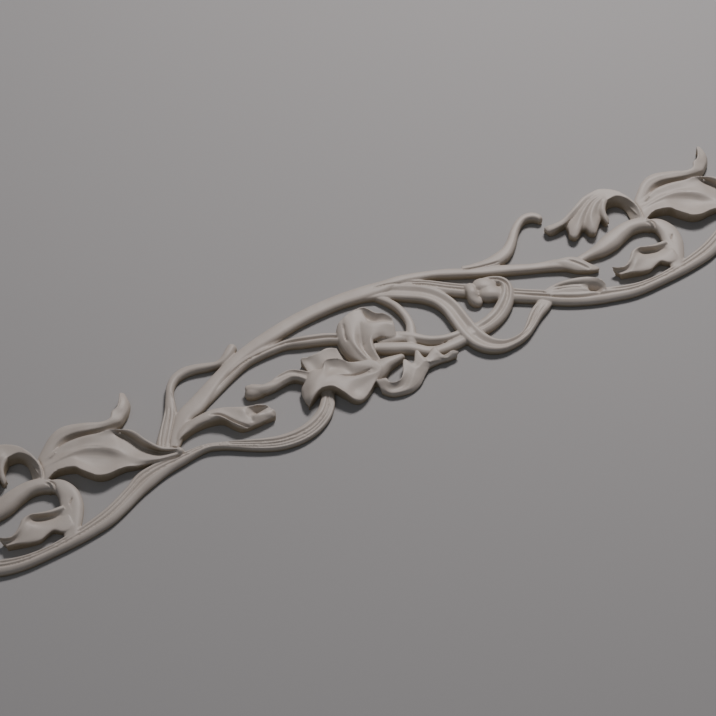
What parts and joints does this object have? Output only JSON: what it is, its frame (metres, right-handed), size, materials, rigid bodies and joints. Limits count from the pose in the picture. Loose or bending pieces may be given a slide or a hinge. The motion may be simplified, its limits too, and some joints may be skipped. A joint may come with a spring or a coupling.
{
  "type": "openwork frieze moulding",
  "caption": "Openwork Art Nouveau iris frieze moulding with flowers, whiplash stems and leaves, flat-backed, cut square at both ends, to be fixed to a wall.",
  "frame": {"origin": "on the flat back, at the middle of the length, level with the hearts of the side flowers", "axes": "+X along the moulding, the way the stems of the right-hand flower run; +Y up the wall; +Z out of the wall, from the flat back to the carved front"},
  "size_m": [1.29, 0.2175, 0.024],
  "materials": {
    "primed_foam": "factory primer, warm off-white, matte with a faint satin sheen"
  },
  "bodies": {
    "root": {"iris_frieze": "primed_foam"}
  },
  "joints": []
}
